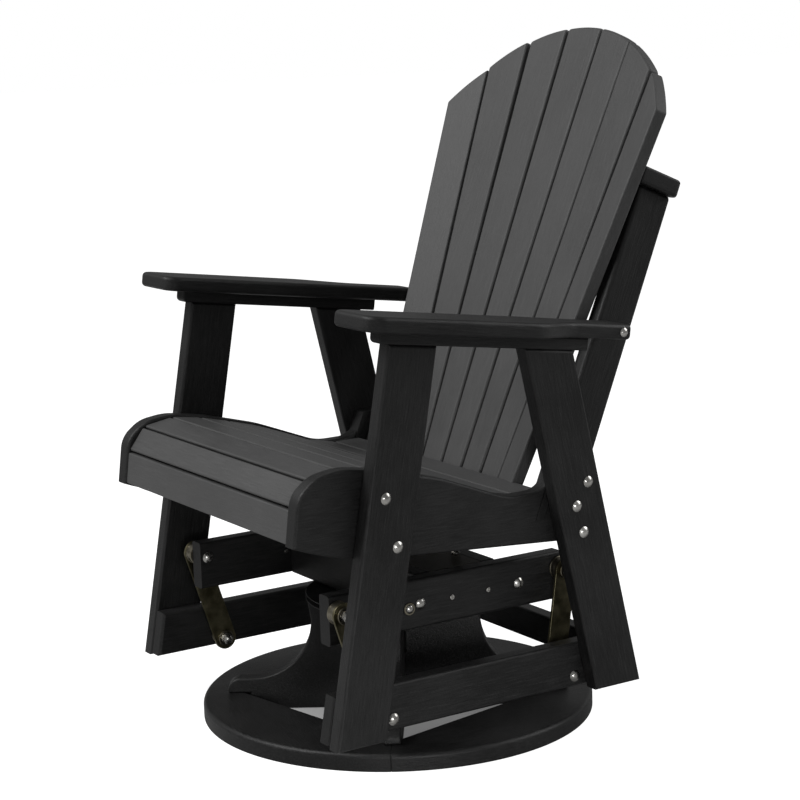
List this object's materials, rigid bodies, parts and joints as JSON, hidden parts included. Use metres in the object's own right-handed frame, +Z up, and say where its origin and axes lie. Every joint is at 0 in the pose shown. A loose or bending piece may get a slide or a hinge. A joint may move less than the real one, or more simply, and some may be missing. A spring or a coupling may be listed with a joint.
{
  "type": "swivel glider chair",
  "caption": "Outdoor armchair of two-tone recycled boards that glides on hanging swing arms and turns on a low round base, with a fanned slat back and a curved slat seat.",
  "frame": {"origin": "on the floor under the turning axis, at the middle of the round base", "axes": "+Z up along the turning axis; the chair faces -Y at rest; +X is the sitter's left"},
  "size_m": [0.776, 0.8137, 1.1414],
  "materials": {
    "black_board": "fine-grained recycled board, satin",
    "slate_board": "fine-grained recycled board, satin",
    "bright_steel": "bright domed bolts",
    "gold_zinc": "yellow zinc plating, worn",
    "zinc_steel": "clear zinc plating",
    "bearing_steel": "ground steel"
  },
  "bodies": {
    "base": {"base_board_1": "black_board", "base_board_2": "black_board", "base_board_3": "black_board", "base_board_4": "black_board", "pedestal_board_1": "black_board", "pedestal_board_2": "black_board", "turntable_lower_plate": "zinc_steel", "turntable_balls": "bright_steel"},
    "swivel": {"turntable_upper_plate": "zinc_steel", "swivel_rail_left": "black_board", "swivel_rail_right": "black_board", "swivel_front_board": "black_board", "swivel_rear_board": "black_board", "swivel_deck": "black_board", "bearing_board": "black_board", "swivel_bolts": "bright_steel", "upper_pivot_bolts": "bright_steel"},
    "front_arms": {"front_arm_left": "gold_zinc", "front_arm_right": "gold_zinc", "front_bearings": "bearing_steel"},
    "rear_arms": {"rear_arm_left": "gold_zinc", "rear_arm_right": "gold_zinc", "rear_bearings": "bearing_steel"},
    "chair": {"front_leg_left": "black_board", "front_leg_right": "black_board", "rear_leg_left": "black_board", "rear_leg_right": "black_board", "lower_rail_left": "black_board", "lower_rail_right": "black_board", "arm_cleat_left": "black_board", "arm_cleat_right": "black_board", "armrest_left": "black_board", "armrest_right": "black_board", "seat_rail_left": "black_board", "seat_rail_right": "black_board", "seat_support_left": "black_board", "seat_support_right": "black_board", "upright_left": "black_board", "upright_right": "black_board", "rear_stretcher": "black_board", "seat_apron": "slate_board", "seat_slat_1": "slate_board", "seat_slat_2": "slate_board", "seat_slat_3": "slate_board", "seat_slat_4": "slate_board", "seat_slat_5": "slate_board", "seat_slat_6": "slate_board", "seat_slat_7": "slate_board", "seat_slat_8": "slate_board", "seat_slat_9": "slate_board", "back_slat_1": "slate_board", "back_slat_2": "slate_board", "back_slat_3": "slate_board", "back_slat_4": "slate_board", "back_slat_5": "slate_board", "back_slat_6": "slate_board", "back_slat_7": "slate_board", "head_rail": "black_board", "lower_back_rail": "black_board", "chair_bolts": "bright_steel"}
  },
  "joints": [
    {"name": "swivel_turn", "type": "hinge", "parent": "base", "child": "swivel", "pos_m": [0, 0, 0.2], "axis": [0, 0, 1], "continuous": true},
    {"name": "front_arm_swing", "type": "hinge", "parent": "swivel", "child": "front_arms", "pos_m": [0, -0.2517, 0.2622], "axis": [1, 0, 0], "range_deg": [-12, 12]},
    {"name": "chair_pivot", "type": "hinge", "parent": "front_arms", "child": "chair", "pos_m": [0, -0.2002, 0.0973], "axis": [1, 0, 0], "range_deg": [-14.7, 14.7]},
    {"name": "rear_arm_swing", "type": "hinge", "parent": "swivel", "child": "rear_arms", "pos_m": [0, 0.1774, 0.2622], "axis": [1, 0, 0], "range_deg": [-12.1, 12.1]}
  ],
  "couplings": [
    {"joint": "chair_pivot", "follows": "front_arm_swing", "ratio": -1.2195},
    {"joint": "rear_arm_swing", "follows": "front_arm_swing", "ratio": 1.0006}
  ]
}
